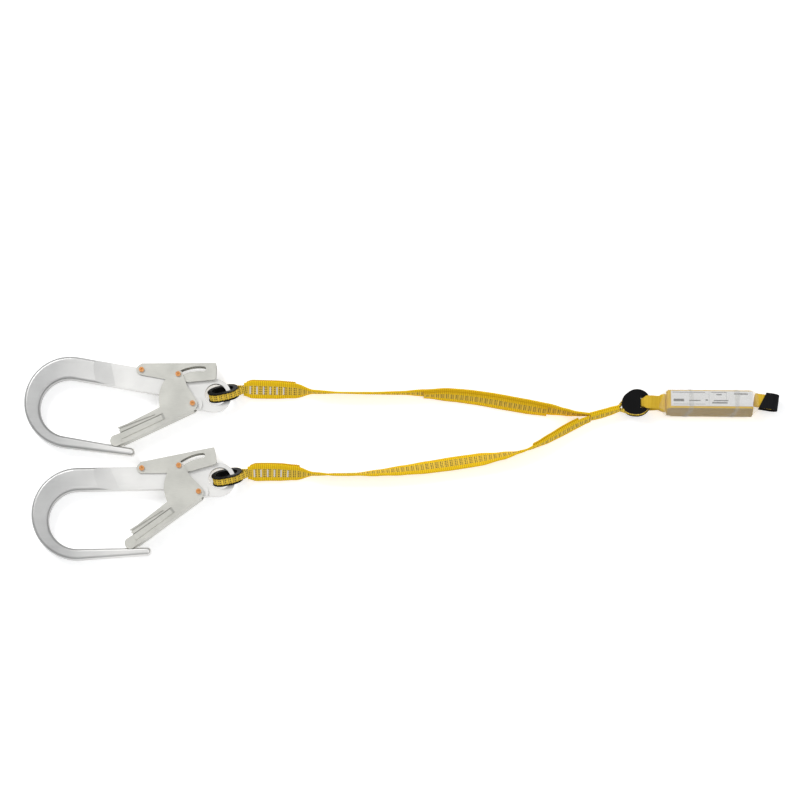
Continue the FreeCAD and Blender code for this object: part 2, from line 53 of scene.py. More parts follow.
# ------------------------------------------------------------------ camera and light
CAMERA_HIGH = math.radians(81)
CAMERA_FAR = 5.0
SENSOR = 36.0                # mm
SEEN_WIDTH = 0.960
LOOK_AT = centre_at + Vector((-284.4, 3.8, -2.3)) * MM


def make_camera():
    data = bpy.data.cameras.new("camera")
    data.sensor_width = SENSOR
    data.lens = SENSOR / (SEEN_WIDTH / CAMERA_FAR)
    data.clip_end = 30
    camera = bpy.data.objects.new("camera", data)
    bpy.context.scene.collection.objects.link(camera)
    away = Vector((0, -math.cos(CAMERA_HIGH), math.sin(CAMERA_HIGH)))
    camera.location = LOOK_AT + away * CAMERA_FAR
    camera.rotation_euler = (math.pi / 2 - CAMERA_HIGH, 0, 0)
    bpy.context.scene.camera = camera


def make_light(name, at, size, power):
    """A round lamp that faces the middle of the table."""
    data = bpy.data.lights.new(name, "AREA")
    data.shape = "DISK"
    data.size = size
    data.energy = power
    lamp = bpy.data.objects.new(name, data)
    bpy.context.scene.collection.objects.link(lamp)
    lamp.location = at
    lamp.rotation_euler = (Vector((0, 0, 0)) - Vector(at)).to_track_quat("-Z", "Y").to_euler()


make_camera()
make_light("window_softbox", (-1.6, 1.5, 2.6), 1.3, 44)
make_light("overhead_softbox", (0.9, -0.5, 3.0), 2.2, 16)


# ------------------------------------------------------------------ shader maths
class Wire:
    """One output socket of a material, so that shader maths reads as sums."""

    def __init__(self, paint, socket):
        self.paint = paint
        self.socket = socket

    def maths(self, operation, *others):
        return self.paint.node("ShaderNodeMath", {"operation": operation}, [self, *others])

    def __add__(self, other):
        return self.maths("ADD", other)

    def __sub__(self, other):
        return self.maths("SUBTRACT", other)

    def __rsub__(self, other):
        return self.paint.node("ShaderNodeMath", {"operation": "SUBTRACT"}, [other, self])

    def __mul__(self, other):
        return self.maths("MULTIPLY", other)

    def __truediv__(self, other):
        return self.maths("DIVIDE", other)

    def __abs__(self):
        return self.maths("ABSOLUTE")

    def __lt__(self, other):
        return self.maths("LESS_THAN", other)

    def __gt__(self, other):
        return self.maths("GREATER_THAN", other)

    def wave(self):
        return self.maths("SINE")

    def fraction(self):
        return self.maths("FRACT")

    def clamped(self):
        return self.paint.node("ShaderNodeClamp", {}, {"Value": self})

    __radd__ = __add__
    __rmul__ = __mul__


class Paint:
    """A node material for one finish."""

    def __init__(self, name):
        self.material = bpy.data.materials.new(name)
        self.material.use_nodes = True
        self.tree = self.material.node_tree
        self.shader = self.tree.nodes["Principled BSDF"]

    def node(self, kind, settings=None, inputs=None, out=0):
        made = self.tree.nodes.new(kind)
        for key, value in (settings or {}).items():
            if key == "stops":
                while len(made.color_ramp.elements) < len(value):
                    made.color_ramp.elements.new(0.5)
                for element, (place, colour) in zip(made.color_ramp.elements, value):
                    element.position = place
                    element.color = (*colour, 1)
            else:
                setattr(made, key, value)
        pairs = inputs.items() if isinstance(inputs, dict) else enumerate(inputs or [])
        for key, value in pairs:
            self.feed(made.inputs[key], value)
        return Wire(self, made.outputs[out])

    def feed(self, socket, value):
        if isinstance(value, Wire):
            self.tree.links.new(value.socket, socket)
        elif isinstance(value, (tuple, list)) and len(value) == 3 and socket.type == "RGBA":
            socket.default_value = (*value, 1)
        else:
            socket.default_value = value

    def give(self, **values):
        for key, value in values.items():
            self.feed(self.shader.inputs[key.replace("_", " ")], value)
        return self

    def place(self):
        return self.node("ShaderNodeTexCoord", out=3)

    def split(self, vector):
        """The three parts of a vector, each as a Wire."""
        made = self.tree.nodes.new("ShaderNodeSeparateXYZ")
        self.feed(made.inputs[0], vector)
        return [Wire(self, socket) for socket in made.outputs]

    def grain(self, scale, detail, stretch=(1, 1, 1)):
        mapped = self.node("ShaderNodeMapping", {}, {"Vector": self.place(), "Scale": stretch})
        return self.node("ShaderNodeTexNoise", {}, {"Vector": mapped, "Scale": scale, "Detail": detail})

    def blend(self, share, first, second):
        made = self.tree.nodes.new("ShaderNodeMix")
        made.data_type = "RGBA"
        self.feed(made.inputs[0], share)
        self.feed(made.inputs[6], first)
        self.feed(made.inputs[7], second)
        return Wire(self, made.outputs[2])

    def bump(self, height, depth):
        inputs = {"Height": height, "Distance": depth, "Strength": 1.0}
        return self.give(Normal=self.node("ShaderNodeBump", {}, inputs))


# ------------------------------------------------------------------ finishes
RIB = 2.3 * MM               # pitch of the webbing's cross ribs
FLECK = 5.9 * MM             # pitch of the dark pattern down its middle
FLECK_ROWS = 2.5 * MM        # from row to row of the pattern
FLECK_HALF = 5.0 * MM        # half the width that the pattern takes
YARN = 1.1 * MM              # pitch of the yarns that run lengthwise
TEAR_RIB = 1.7 * MM          # the same two pitches on the absorber's webbing
TEAR_YARN_PITCH = 1.3 * MM
TEAR_EDGE = 12.1 * MM        # from the middle to its beige edge


def webbing_paint():
    """Yellow polyester webbing: ribs across, rows of dark flecks, painted shade darkening its edges."""
    paint = Paint("yellow_webbing")
    u, v, _ = paint.split(paint.node("ShaderNodeUVMap", {"uv_map": "weave"}))
    rib = (v * (math.tau / RIB)).wave() * 0.5 + 0.5
    side = abs(u)
    yarn = (u * (math.tau / YARN)).wave() * 0.5 + 0.5
    worn = paint.grain(90, 4)
    fibre = paint.grain(900, 2)
    # painted shade: both edges of the webbing darkened
    edge = ((side - 9.2 * MM) / (1.6 * MM)).clamped()
    base = paint.blend(rib, (0.66, 0.36, 0.003), (0.98, 0.68, 0.012))
    base = paint.blend(worn * 0.35, base, (0.98, 0.70, 0.05))
    base = paint.blend(edge * 0.65, base, (0.55, 0.29, 0.004))
    column = (v / FLECK).fraction()
    mark = (abs(column - 0.30) < 0.115) + (abs(column - 0.66) < 0.10) * 0.8
    row = (abs((u / FLECK_ROWS).fraction() - 0.5) < 0.30) * (side < FLECK_HALF)
    fleck = (mark * row * (fibre * 0.5 + 0.75)).clamped()
    pale = ((side < FLECK_HALF) * 0.16) * (1 - fleck)
    base = paint.blend(pale, base, (0.80, 0.68, 0.34))
    base = paint.blend(fleck * 0.95, base, (0.07, 0.06, 0.04))
    paint.give(Base_Color=base, Roughness=0.9, Specular_IOR_Level=0.08)
    return paint.bump(rib * 0.6 + yarn * 0.25 + fibre * 0.25, 0.35 * MM).material


def tear_webbing_paint():
    """The absorber's tear webbing: finer, without flecks, its edges beige."""
    paint = Paint("tear_webbing_yarn")
    u, v, _ = paint.split(paint.node("ShaderNodeUVMap", {"uv_map": "weave"}))
    rib = (v * (math.tau / TEAR_RIB)).wave() * 0.5 + 0.5
    yarn = (u * (math.tau / TEAR_YARN_PITCH)).wave() * 0.5 + 0.5
    worn = paint.grain(120, 4)
    base = paint.blend(rib * 0.5 + worn * 0.3, (0.66, 0.40, 0.02), (0.88, 0.62, 0.07))
    base = paint.blend(abs(u) > TEAR_EDGE, base, (0.34, 0.27, 0.155))
    paint.give(Base_Color=base, Roughness=0.9, Specular_IOR_Level=0.1)
    return paint.bump(rib * 0.4 + yarn * 0.6, 0.3 * MM).material


def thread_paint():
    paint = Paint("pale_thread")
    twist = paint.grain(1500, 2)
    paint.give(Base_Color=paint.blend(twist, (0.62, 0.58, 0.48), (0.88, 0.86, 0.80)), Roughness=0.75)
    return paint.bump(twist, 0.2 * MM).material


BEND_SHADE_FROM = -0.415         # where the painted shade on the bend starts to give way to the paler spine, along x
BEND_SHADE_RUN = 0.085


def aluminium_paint():
    """Forged aluminium: painted shade darkens the bend, paler along the spine."""
    paint = Paint("forged_aluminium")
    pebble = paint.grain(260, 4)
    cloud = paint.grain(22, 3)
    scuff = paint.grain(70, 5, (0.5, 6, 6))
    x, _, _ = paint.split(paint.place())
    # painted shade: the bend's tone is darker, fading out along x towards the paler spine
    beyond_bend_shade = ((x - BEND_SHADE_FROM) / BEND_SHADE_RUN).clamped()
    bend_shade_tone = paint.blend(cloud * 0.8 + scuff * 0.2, (0.38, 0.38, 0.375), (0.52, 0.52, 0.51))
    tone = paint.blend(beyond_bend_shade, bend_shade_tone, paint.blend(cloud, (0.66, 0.655, 0.635), (0.80, 0.79, 0.765)))
    paint.give(Base_Color=tone, Metallic=0.85, Roughness=cloud * 0.14 + scuff * 0.12 + 0.27)
    return paint.bump(pebble * 0.6 + scuff * 0.4, 0.12 * MM).material


def zinc_paint():
    """Zinc plated pressed steel, warm grey with a faint drawn grain."""
    paint = Paint("zinc_plate")
    drawn = paint.grain(160, 4, (1, 9, 9))
    cloud = paint.grain(35, 3)
    tone = paint.blend(cloud * 0.7 + drawn * 0.3, (0.40, 0.40, 0.365), (0.70, 0.69, 0.635))
    paint.give(Base_Color=tone, Metallic=0.8, Roughness=drawn * 0.2 + cloud * 0.12 + 0.24)
    return paint.bump(drawn, 0.06 * MM).material


def copper_paint():
    paint = Paint("copper_rivet")
    spin = paint.grain(420, 3)
    tone = paint.blend(spin, (0.62, 0.24, 0.07), (0.92, 0.48, 0.20))
    paint.give(Base_Color=tone, Metallic=0.9, Roughness=spin * 0.2 + 0.2)
    return paint.bump(spin, 0.05 * MM).material


def spring_paint():
    paint = Paint("spring_wire")
    draw = paint.grain(600, 2)
    paint.give(Base_Color=paint.blend(draw, (0.30, 0.30, 0.31), (0.5, 0.5, 0.5)), Metallic=1.0)
    return paint.give(Roughness=draw * 0.2 + 0.3).material


def black_plastic_paint():
    """Moulded black nylon with a fine eggshell grain."""
    paint = Paint("black_nylon")
    egg = paint.grain(700, 2)
    scuff = paint.grain(60, 5)
    tone = paint.blend(scuff * 0.6, (0.002, 0.002, 0.002), (0.006, 0.006, 0.006))
    paint.give(Base_Color=tone, Roughness=scuff * 0.2 + 0.3, Specular_IOR_Level=0.1)
    return paint.bump(egg, 0.08 * MM).material


def black_sleeve_paint():
    """Black woven sleeve over the end loop."""
    paint = Paint("black_sleeve_weave")
    place = paint.place()

    def threads(direction, scale):
        inputs = {"Vector": place, "Scale": scale, "Distortion": 1.2}
        return paint.node("ShaderNodeTexWave", {"bands_direction": direction}, inputs, out=1)

    weave = threads("X", 180) * 0.5 + threads("Y", 260) * 0.5
    tone = paint.blend(weave, (0.003, 0.003, 0.003), (0.014, 0.014, 0.016))
    paint.give(Base_Color=tone, Roughness=0.8, Specular_IOR_Level=0.15)
    return paint.bump(weave, 0.25 * MM).material


def film_paint():
    """Clear shrink film, slightly milky, with drawn creases."""
    paint = Paint("shrink_film")
    crease = paint.grain(55, 5, (0.35, 1.6, 1.6))
    ripple = paint.grain(240, 3, (0.4, 1.4, 1.4))
    milky = (crease * 0.15).clamped()
    paint.give(Base_Color=(0.80, 0.77, 0.68), Alpha=milky, Roughness=0.14, Specular_IOR_Level=0.3)
    return paint.bump(crease * 0.7 + ripple * 0.3, 0.5 * MM).material


def band_paint():
    """The two paler, doubled bands of film round the pack."""
    paint = Paint("film_band")
    crease = paint.grain(90, 4, (1.5, 0.6, 0.6))
    paint.give(Base_Color=(0.86, 0.85, 0.80), Alpha=(crease * 0.16 + 0.02).clamped(), Roughness=0.2)
    return paint.bump(crease, 0.3 * MM).material


# Shares of the label's length and width: x from, x to, y from, y to.
LABEL_BLOCKS = [
    (0.02, 0.42, 0.885, 0.925),
    (0.49, 0.68, 0.885, 0.925),
    (0.555, 0.62, 0.72, 0.80),
    (0.03, 0.16, 0.30, 0.47),
    (0.22, 0.36, 0.33, 0.40),
    (0.42, 0.45, 0.34, 0.44),
    (0.52, 0.70, 0.33, 0.40),
    (0.50, 0.69, 0.17, 0.27),
    (0.77, 0.94, 0.78, 0.86),
    (0.03, 0.42, 0.11, 0.135),
]
LABEL_RULES = [
    (0.462, 0.467, 0.06, 0.95),
    (0.675, 0.68, 0.30, 0.95),
]


def label_paint():
    """White printed label: plain rules and grey blocks, no lettering."""
    paint = Paint("white_label")
    x, y, _ = paint.split(paint.node("ShaderNodeUVMap", {"uv_map": "print"}))

    def block(x1, x2, y1, y2):
        inside_x = abs(x - (x1 + x2) / 2) < (x2 - x1) / 2
        return inside_x * (abs(y - (y1 + y2) / 2) < (y2 - y1) / 2)

    ink = 0.0
    for area in LABEL_BLOCKS:
        ink = block(*area) + ink
    for area in LABEL_RULES:
        ink = block(*area) * 0.45 + ink
    speck = paint.grain(1300, 3)
    paper = paint.blend(paint.grain(40, 3) * 0.5, (0.80, 0.80, 0.80), (0.70, 0.70, 0.71))
    tone = paint.blend((ink * (speck * 0.9 + 0.35)).clamped(), paper, (0.04, 0.04, 0.045))
    return paint.give(Base_Color=tone, Roughness=0.4).material


WEBBING = webbing_paint()
TEAR_YARN = tear_webbing_paint()
THREAD = thread_paint()
ALUMINIUM = aluminium_paint()
ZINC = zinc_paint()
COPPER = copper_paint()
SPRING = spring_paint()
BLACK_NYLON = black_plastic_paint()
BLACK_SLEEVE = black_sleeve_paint()
FILM = film_paint()
BAND = band_paint()
LABEL = label_paint()

# ------------------------------------------------------------------ webbing routes
# x, y, z in millimetres and the roll of the webbing in degrees.
LEG_A = [
    (-189.3, 83.9, 14.2, 36),
    (-172.0, 83.2, 14.0, 38),
    (-152.0, 82.9, 13.6, 40),
    (-130.0, 82.3, 13.2, 52),
    (-104.0, 80.8, 12.8, 92),
    (-74.0, 79.9, 12.6, 99),
    (-36.0, 79.3, 12.5, 97),
    (-2.0, 79.6, 12.5, 93),
    (28.2, 80.0, 12.6, 82),
    (58.2, 78.6, 13.0, 67),
    (88.2, 75.2, 13.2, 63),
    (118.2, 70.0, 13.2, 60),
    (148.2, 64.4, 13.0, 61),
    (176.0, 60.2, 12.8, 68),
    (196.2, 56.4, 12.6, 80),
    (212.0, 54.0, 12.6, 88),
    (226.0, 53.4, 12.6, 92),
]
LEG_B = [
    (-183.9, -17.5, 14.2, 40),
    (-168.0, -16.9, 14.0, 42),
    (-148.0, -16.9, 13.6, 44),
    (-128.0, -17.6, 13.0, 56),
    (-104.0, -18.6, 12.7, 92),
    (-78.0, -19.3, 12.6, 101),
    (-54.0, -19.0, 12.5, 102),
    (-28.0, -17.2, 12.3, 113),
    (2.0, -14.0, 11.6, 124),
    (32.0, -10.2, 10.8, 133),
    (62.0, -5.6, 10.4, 137),
    (92.0, -1.2, 10.6, 135),
    (120.0, 3.2, 11.6, 118),
    (142.2, 7.9, 12.4, 101),
    (160.2, 14.6, 12.6, 92),
    (178.2, 23.6, 12.6, 83),
    (196.2, 34.0, 12.5, 78),
    (213.0, 43.0, 12.5, 76),
    (226.0, 48.4, 12.6, 78),
]
STEM = [
    (226.5, 50.9, 12.6, 80),
    (238.2, 53.6, 12.7, 78),
    (250.2, 57.4, 12.9, 80),
    (261.0, 60.8, 13.2, 86),
]
LEGS = {"a": LEG_A, "b": LEG_B}
LEG_WIDTH = 24 * MM
LEG_THICK = 2.4 * MM
LAYER = LEG_THICK + 0.15 * MM    # from one sewn layer's middle to the next
STATION = 0.6                # mm between a strip's stations


def route_line(name, route):
    """The smooth line that a route steers, as closely spaced points."""
    curve = bpy.data.curves.new(name + "_line", "CURVE")
    curve.dimensions = "3D"
    curve.resolution_u = 24
    spline = curve.splines.new("NURBS")
    spline.points.add(len(route) - 1)
    for point, (x, y, z, _) in zip(spline.points, route):
        point.co = (*(Vector((x, y, z)) * MM + ROUTE_ZERO), 1)
    spline.order_u = 3
    spline.use_endpoint_u = True
    line = bpy.data.objects.new(name + "_line", curve)
    bpy.context.scene.collection.objects.link(line)
    bpy.context.view_layer.update()
    mesh = bpy.data.meshes.new_from_object(line)
    points = [vertex.co.copy() for vertex in mesh.vertices]
    bpy.data.meshes.remove(mesh)
    bpy.data.objects.remove(line)
    bpy.data.curves.remove(curve)
    return points


def lengths_along(points):
    total = [0.0]
    for a, b in zip(points, points[1:]):
        total.append(total[-1] + (b - a).length)
    return total


def eased_roll(route, x):
    """Roll where the route passes x (mm), eased between its points."""
    for (x1, _, _, r1), (x2, _, _, r2) in zip(route, route[1:]):
        if x <= x2:
            t = max(0.0, (x - x1) / (x2 - x1))
            return r1 + (r2 - r1) * t * t * (3 - 2 * t)
    return route[-1][3]


def resample(points, pitch, span=None):
    """(position, direction, distance) at an even pitch along a line of points."""
    along = lengths_along(points)
    first, last = span or (0.0, along[-1])
    last = min(last, along[-1])
    count = max(2, round((last - first) / pitch))
    found, k = [], 0
    for i in range(count + 1):
        s = first + (last - first) * i / count
        while k < len(points) - 2 and along[k + 1] < s:
            k += 1
        t = (s - along[k]) / max(1e-9, along[k + 1] - along[k])
        here = points[k].lerp(points[k + 1], t)
        back, ahead = points[max(0, k - 2)], points[min(len(points) - 1, k + 3)]
        found.append((here, (ahead - back).normalized(), s))
    return found


def rolled_frames(points, route, span=None, offset=0.0):
    """Webbing stations: position, width direction, face direction, distance."""
    stations = []
    for here, along, s in resample(points, STATION * MM, span):
        side = Vector((0, 0, 1)).cross(along).normalized()
        lift = along.cross(side)
        x = (here - ROUTE_ZERO).x / MM
        roll = math.radians(eased_roll(route, x))
        across = side * math.cos(roll) + lift * math.sin(roll)
        face = side * -math.sin(roll) + lift * math.cos(roll)
        stations.append((here + face * offset, across, face, s))
    return stations


# Half the webbing's section, in shares of its half width and half thickness.
PROFILE = [(-1, 0.35), (-0.975, 0.8), (-0.92, 1), (-0.6, 0.97), (-0.2, 1), (0.2, 1),
           (0.6, 0.97), (0.92, 1), (0.975, 0.8), (1, 0.35)]


def weave_strip(name, stations, width, thick, material, rib=RIB, ridge=0.16 * MM, slant=(0, 0)):
    """Webbing over its stations, with real cross ribs and softly rounded edges.

    width is a length or a rule for the length at a distance. slant is how far one edge
    runs ahead of the middle, at the start and at the end. The weave's pattern keeps the
    width of the last station all along.
    """
    ring = PROFILE + [(a, -b) for a, b in reversed(PROFILE)]
    shape = bmesh.new()
    weave = shape.loops.layers.uv.new("weave")
    rows = []
    for here, across, face, s in stations:
        swell = math.sin(math.tau * s / rib)
        wide = width(s) if callable(width) else width
        half = wide / 2 + 0.12 * MM * swell
        deep = thick / 2 + ridge * swell
        done = len(rows) / (len(stations) - 1)
        lead = face.cross(across) * (slant[0] * (1 - done) + slant[1] * done)
        rows.append([
            shape.verts.new(here + across * (a * half) + lead * a + face * (b * deep)) for a, b in ring
        ])
    pattern_half = half
    places = [station[3] for station in stations]
    for row, after, s1, s2 in zip(rows, rows[1:], places, places[1:]):
        for k in range(len(ring)):
            m = (k + 1) % len(ring)
            faced = shape.faces.new((row[k], row[m], after[m], after[k]))
            spots = ((ring[k][0], s1), (ring[m][0], s1), (ring[m][0], s2), (ring[k][0], s2))
            for loop, (a, s) in zip(faced.loops, spots):
                loop[weave].uv = (a * pattern_half, s)
            faced.smooth = True
    for row, s in ((rows[0], places[0]), (rows[-1], places[-1])):
        cap = shape.faces.new(row)
        for loop, (a, _) in zip(cap.loops, ring):
            loop[weave].uv = (a * pattern_half, s)
    bmesh.ops.recalc_face_normals(shape, faces=shape.faces)
    mesh = bpy.data.meshes.new(name)
    shape.to_mesh(mesh)
    shape.free()
    mesh.materials.append(material)
    piece = bpy.data.objects.new(name, mesh)
    bpy.context.scene.collection.objects.link(piece)
    return piece


def as_piece(piece, body, slot, *stands_for):
    """Tie a piece to its body, in place of the nodes it stands for. The slot is not used."""
    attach(piece, body)
    if stands_for:
        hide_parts(*stands_for)
    return piece


def eased(value, low, high, first, last):
    """first below low, last above high, eased between."""
    t = min(1.0, max(0.0, (value - low) / (high - low)))
    return first + (last - first) * t * t * (3 - 2 * t)


def leg_width(line):
    """Gathered at the thimble's end, full along the leg, a little narrower at the joint."""
    whole = lengths_along(line)[-1]

    def width(s):
        gathered = eased(s, 0, 11 * MM, 7 * MM, 0)
        return LEG_WIDTH - gathered - eased(s, whole - 34 * MM, whole, 0, 5 * MM)

    return width


LINES = {letter: route_line("leg_" + letter, route) for letter, route in LEGS.items()}
for letter, line in LINES.items():
    stations = rolled_frames(line, LEGS[letter])
    leg = weave_strip("leg_" + letter + "_webbing", stations, leg_width(line), LEG_THICK, WEBBING)
    as_piece(leg, "lanyard", "webbing", "leg_" + letter)
    lengths_along(line)[-1]


def layer_strip(name, letter, span, side, slot, node):
    """A second layer of webbing sewn along a leg, over a span in mm from the hook's end."""
    stations = rolled_frames(LINES[letter], LEGS[letter], [s * MM for s in span], side * LAYER)
    strip = weave_strip(name, stations, leg_width(LINES[letter]), LEG_THICK, WEBBING)
    return as_piece(strip, "lanyard", slot, node)


layer_strip("turned_back_tail_a", "a", (3, 62), -1, "webbing", "sewn_tail_a")
layer_strip("turned_back_tail_b", "b", (3, 62), -1, "webbing", "sewn_tail_b")
layer_strip("doubled_stretch_a", "a", (216, 366), 1, "webbing", "joint_layer_a")
layer_strip("doubled_stretch_b", "b", (346, 408), -1, "webbing", "joint_layer_b")

# the stem: both legs together, sewn face to face
STEM_WIDTH = 19 * MM
PLY_GAP = 0.1 * MM
stem_line = route_line("stem", STEM)
for k, side in enumerate((-1, 1)):
    stations = rolled_frames(stem_line, STEM, None, side * (LEG_THICK + PLY_GAP) / 2)
    ply = weave_strip(f"stem_ply_{k + 1}", stations, STEM_WIDTH, LEG_THICK, WEBBING)
    as_piece(ply, "lanyard", "webbing", "stem")


# ------------------------------------------------------------------ loops round thimbles
def loop_line(circles, extra):
    """A belt round circles (x, r) in a row, left open at its far end, in its own plane."""
    grown = [(x, r + extra) for x, r in circles]
    leans = [math.acos((r1 - r2) / (x2 - x1)) for (x1, r1), (x2, r2) in zip(grown, grown[1:])]
    far_x, far_r = grown[-1]
    upper = [(far_x + far_r * math.cos(leans[-1]), far_r * math.sin(leans[-1]))]
    for i in reversed(range(len(leans))):
        x, r = grown[i]
        start = leans[i]
        end = leans[i - 1] if i else math.pi
        steps = max(2, round(abs(end - start) * r / 0.8))
        for k in range(steps + 1):
            angle = start + (end - start) * k / steps
            upper.append((x + r * math.cos(angle), r * math.sin(angle)))
    return upper + [(x, -y) for x, y in reversed(upper[:-1])]


def loop_stations(line, to_world):
    """Stations of webbing that follows a flat loop; its width lies along the loop's axis."""
    points = [Vector((x, y, 0)) for x, y in line]
    stations = []
    for here, along, s in resample(points, STATION):
        face = Vector((along.y, -along.x, 0))
        stations.append((
            to_world @ (here * MM),
            (to_world.to_3x3() @ Vector((0, 0, 1))).normalized(),
            (to_world.to_3x3() @ face).normalized(),
            s * MM,
        ))
    return stations


def thimble_frame(at, tilt, heading):
    """Axes on a thimble: x runs towards its loop's tail, z along the thimble's axis."""
    turn = Matrix.Rotation(math.radians(heading), 4, "Z") @ Matrix.Rotation(math.radians(tilt), 4, "X")
    return Matrix.Translation(at) @ turn


# Circles (x, r) under each loop: the thimble's groove first, the sewn tail last.
EYE_CIRCLES = [(4.3, 10.2), (14.0, 10.2), (34.0, 0.4)]
CENTRE_CIRCLES = [(0, 12.4), (4.0, 10.9), (22.0, 0.4)]
LOOP_THICK = 2.6
LOOP_EXTRA = 1.35            # from the groove to the middle of the webbing
for letter in "ab":
    stations = loop_stations(loop_line(EYE_CIRCLES, LOOP_EXTRA), thimble_frame(eye_at[letter], 120, 12))
    loop = weave_strip("eye_webbing_" + letter, stations, 8.2 * MM, LOOP_THICK * MM, WEBBING)
    as_piece(loop, "lanyard", "webbing", "eye_loop_" + letter)

stations = loop_stations(loop_line(CENTRE_CIRCLES, LOOP_EXTRA), thimble_frame(centre_at, 12, 197))
loop = weave_strip("stem_eye_webbing", stations, 7.2 * MM, LOOP_THICK * MM, WEBBING)
as_piece(loop, "lanyard", "webbing", "stem_loop")

# ------------------------------------------------------------------ absorber
# Millimetres from the centre thimble, along the pack.
PACK_FROM, PACK_TO = 34.0, 139.0
PACK_WIDE, PACK_HIGH = 25.0, 22.0
PACK_TURN, PACK_ROLL = -0.5, -20.0
TEAR_LAYERS = 10
LABEL_FROM, LABEL_TO, LABEL_WIDE = 40.0, 138.0, 20.5
END_X = 160.5                # middle of the end loop's turn
END_LEAN_X, END_LEAN, END_SHIFT = 142.0, -8.0, 4.5
FILM_WALL = 0.25
SMOOTH_ANGLE = math.radians(50)
level = Matrix.Translation(centre_at) @ Matrix.Rotation(math.radians(PACK_TURN), 4, "Z")
rolled = level @ Matrix.Rotation(math.radians(PACK_ROLL), 4, "X")
upright = Matrix.Rotation(math.radians(90), 4, "X")


def folded_line(first, last, height, layers):
    """A line folded back and forth, each fold's turn a little uneven."""
    pitch = height / layers
    steps = round((last - first) / 1.5)
    points = []
    for k in range(layers):
        y = pitch * (k + 0.5) - height / 2
        forward = 1 if k % 2 == 0 else -1
        start, end = (first, last) if forward == 1 else (last, first)
        end -= forward * 1.4 * noise.random()
        points += [(start + (end - start) * i / steps, y) for i in range(3, steps + 1)]
        if k < layers - 1:
            for i in range(1, 6):
                angle = math.pi * (i / 6 - 0.5)
                bulge = forward * pitch / 2 * math.cos(angle)
                points.append((end + bulge, y + pitch / 2 * (1 + math.sin(angle))))
    return points


noise.seed_set(4)
folds = folded_line(PACK_FROM + 1.5, PACK_TO - 1.5, PACK_HIGH - 0.4, TEAR_LAYERS)
stack = weave_strip("folded_tear_webbing", loop_stations(folds, rolled @ upright), PACK_WIDE * MM,
                    1.8 * MM, TEAR_YARN, rib=2.4 * MM, ridge=0.06 * MM)
as_piece(stack, "absorber", "webbing", "tear_webbing")

# front loop: narrow through the thimble, spreading towards the pack
line = loop_line([(14.2, 8.2), (27.0, 3.4), (PACK_FROM - 0.3, 3.4)], 1.1)
stations = loop_stations(line, level @ upright)
front_length = stations[-1][3]


def front_width(s):
    """Narrow in the thimble's slot, wide over its rim, widest at the pack."""
    from_end = min(s, front_length - s)
    in_slot = eased(from_end, front_length / 2 - 12 * MM, front_length / 2 - 6 * MM, 0, 1)
    return eased(from_end, 0, 14 * MM, 21 * MM, 15.5 * MM) * (1 - in_slot) + 9.8 * MM * in_slot


loop = weave_strip("front_loop_webbing", stations, front_width, 2.2 * MM, TEAR_YARN)
as_piece(loop, "absorber", "webbing", "front_loop")

# rear loop and the sleeve drawn over its end, both leaning a little
lean = Matrix.Rotation(math.radians(END_LEAN), 4, "Z") @ Matrix.Translation((-END_LEAN_X * MM, 0, 0))
leaning = level @ Matrix.Translation((END_LEAN_X * MM, END_SHIFT * MM, 0)) @ lean @ upright


def end_turn(radius, start_x, start_y):
    """A line that leaves the pack, turns round the end bar and comes back."""
    turn = [math.radians(100 - 200 * i / 24) for i in range(25)]
    bend = [(END_X + radius * math.cos(a), radius * math.sin(a)) for a in turn]
    x, y = bend[0]
    steps = max(2, round((x - start_x) / 1.5))
    shares = [i / steps for i in range(steps)]
    run = [(start_x + (x - start_x) * t, start_y + (y - start_y) * t) for t in shares]
    return run + bend + [(a, -b) for a, b in reversed(run)]


rear = weave_strip("rear_loop_webbing", loop_stations(end_turn(6.5, 140.4, 3.7), leaning),
                   15.0 * MM, 2.5 * MM, TEAR_YARN)
as_piece(rear, "absorber", "webbing", "end_loop")
sleeve = weave_strip("black_end_sleeve", loop_stations(end_turn(8.4, 150.0, 7.2), leaning),
                     19.6 * MM, 1.1 * MM, BLACK_SLEEVE, slant=(3.4 * MM, -3.4 * MM))
as_piece(sleeve, "absorber", "black_fabric", "end_sleeve")


def select_only(piece=None):
    """Select one piece and make it active, or select nothing."""
    bpy.ops.object.select_all(action="DESELECT")
    if piece:
        piece.select_set(True)
        bpy.context.view_layer.objects.active = piece


def settle(piece, frame_of):
    """Put a piece modelled about the pack's own axes into its place."""
    piece.matrix_world = frame_of
    bpy.context.view_layer.update()
    select_only(piece)
    bpy.ops.object.transform_apply(location=True, rotation=True, scale=True)


def tube(name, sections):
    """A rounded rectangular tube, drawn out section by section: x, width, height, y, z."""
    x, wide, high, y, z = sections[0]
    select_only()
    bpy.ops.mesh.primitive_plane_add(size=1, location=(0, 0, 0))
    piece = bpy.context.object
    piece.name = name
    bpy.ops.object.mode_set(mode="EDIT")
    bpy.ops.mesh.select_all(action="SELECT")
    bpy.ops.transform.resize(value=(wide * MM, high * MM, 1))
    bpy.ops.mesh.subdivide(number_cuts=3)
    bpy.ops.mesh.select_all(action="SELECT")
    bpy.ops.transform.translate(value=(y * MM, z * MM, x * MM))
    for (x1, w1, h1, y1, z1), (x2, w2, h2, y2, z2) in zip(sections, sections[1:]):
        bpy.ops.mesh.extrude_region_move(
            TRANSFORM_OT_translate={"value": ((y2 - y1) * MM, (z2 - z1) * MM, (x2 - x1) * MM)}
        )
        bpy.ops.transform.resize(
            value=(w2 / w1, h2 / h1, 1), center_override=(y2 * MM, z2 * MM, x2 * MM)
        )
    bpy.ops.mesh.delete(type="FACE")
    bpy.ops.object.mode_set(mode="OBJECT")
    return piece


def shape_with(piece, kind, **settings):
    """Give a piece one modifier and apply it."""
    select_only(piece)
    made = piece.modifiers.new(kind.lower(), kind)
    for key, value in settings.items():
        setattr(made, key, value)
    bpy.ops.object.modifier_apply(modifier=made.name)


# Tubes are drawn along z, so z runs along the pack, x across it and y up.
along_pack = Matrix(((0, 0, 1, 0), (1, 0, 0, 0), (0, 1, 0, 0), (0, 0, 0, 1)))


